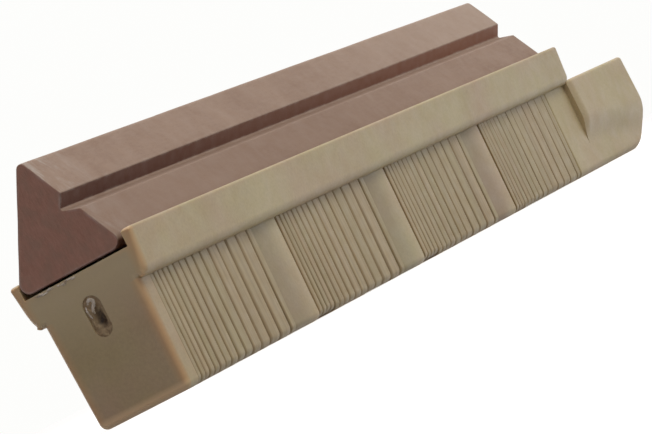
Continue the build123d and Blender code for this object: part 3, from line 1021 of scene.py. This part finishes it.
def make_camera():
    """Long lens close to the floor, rolled, looking along the row from its closed end."""
    data = bpy.data.cameras.new("camera")
    data.sensor_width = 36
    data.lens = 203.68
    data.clip_start = 0.01
    camera = bpy.data.objects.new("camera", data)
    spin = Matrix(CAMERA_AXES).transposed().to_4x4()
    camera.matrix_world = Matrix.Translation(CAMERA_PLACE) @ spin
    bpy.context.scene.collection.objects.link(camera)
    bpy.context.scene.camera = camera


def area_light(name, place, target, size, power, colour=(1, 1, 1)):
    """Soft square lamp aimed at a point."""
    data = bpy.data.lights.new(name, "AREA")
    data.shape = "RECTANGLE"
    data.size, data.size_y = size
    data.energy = power
    data.color = colour
    lamp = bpy.data.objects.new(name, data)
    lamp.location = place
    aim = Vector(target) - Vector(place)
    lamp.rotation_euler = aim.to_track_quat("-Z", "Y").to_euler()
    bpy.context.scene.collection.objects.link(lamp)


def make_world():
    """White room, dimmer behind the camera than beyond the row."""
    world = bpy.data.worlds.new("room")
    bpy.context.scene.world = world
    world.use_nodes = True
    tree = world.node_tree
    way = tree.nodes.new("ShaderNodeTexCoord")
    parts = tree.nodes.new("ShaderNodeSeparateXYZ")
    tree.links.new(way.outputs["Generated"], parts.inputs[0])
    level = tree.nodes.new("ShaderNodeMapRange")
    level.interpolation_type = "SMOOTHSTEP"
    for key, number in (("From Min", -0.5), ("From Max", 0.7), ("To Min", 0.36), ("To Max", 1.0)):
        level.inputs[key].default_value = number
    tree.links.new(parts.outputs[0], level.inputs["Value"])
    below = tree.nodes.new("ShaderNodeMapRange")
    for key, number in (("From Min", -0.15), ("From Max", -0.02), ("To Min", 0.35), ("To Max", 1.0)):
        below.inputs[key].default_value = number
    tree.links.new(parts.outputs[2], below.inputs["Value"])
    both = tree.nodes.new("ShaderNodeMath")
    both.operation = "MULTIPLY"
    tree.links.new(level.outputs["Result"], both.inputs[0])
    tree.links.new(below.outputs["Result"], both.inputs[1])
    tint = tree.nodes.new("ShaderNodeMix")
    tint.data_type = "RGBA"
    tree.links.new(level.outputs["Result"], tint.inputs[0])
    tint.inputs[6].default_value = (1.0, 0.84, 0.96, 1)
    tint.inputs[7].default_value = (0.985, 0.985, 0.97, 1)
    back = tree.nodes["Background"]
    tree.links.new(tint.outputs[2], back.inputs["Color"])
    tree.links.new(both.outputs["Value"], back.inputs["Strength"])


def make_floor():
    """Large pale floor that melts into the white room."""
    bm = bmesh.new()
    bmesh.ops.create_grid(bm, x_segments=1, y_segments=1, size=60)
    floor = finish_mesh("floor", bm)
    n = Nodes("floor_white")
    n.put(n.shader, "Base Color", rgb(244, 243, 240))
    n.put(n.shader, "Roughness", 0.9)
    n.put(n.shader, "Specular IOR Level", 0.0)
    n.put(n.shader, "Emission Color", (1.0, 1.0, 0.985, 1))
    n.put(n.shader, "Emission Strength", 0.45)
    paint(floor, n.material)
    floor.visible_diffuse = False


# ---------------------------------------------------------------- assembly
bpy.context.scene.view_settings.view_transform = "Standard"
pale_nylon = nylon("pale_nylon", amber=1.0)
block_nylon = nylon("block_nylon", with_painted_shade=True)
spigot_nylon = nylon("spigot_nylon", 1.06)
leaves_nylon = leaf_nylon()
brown = bar_brown()
steel = zinc()
dark = plug_with_painted_shade()
white = flash_white()

make_rail(pale_nylon)
make_bar(brown)
make_leaves(leaves_nylon)
for block_node in ("spacer_block_1", "spacer_block_2", "spacer_block_3"):
    make_block(block_node, block_nylon)
make_spigot(spigot_nylon)
make_plug(dark, white)
for i, (flake_y, flake_width) in enumerate(FLAKES):
    flake_place = (NEAR_X + 0.02 * MM, flake_y * MM, (19.75 - 0.12 * (i % 3)) * MM)
    flake_size = (0.12 * MM, 1.3 * flake_width * MM, (0.11 + 0.07 * (i % 2)) * MM)
    make_flake(f"flake_{i + 1}", flake_place, flake_size, 20 + i, white)
for steel_node in ("tie_rod", "rod_nut", "clamp_screws"):
    paint(NODES[steel_node], steel)

make_camera()
make_world()
area_light("key", (-0.25, -0.72, 0.95), (-0.02, 0, 0.02), (0.7, 0.5), 5.5, (1.0, 0.98, 0.88))
area_light("top", (0.25, 0.3, 1.0), (0, 0, 0.02), (0.9, 0.6), 3.3)
make_floor()
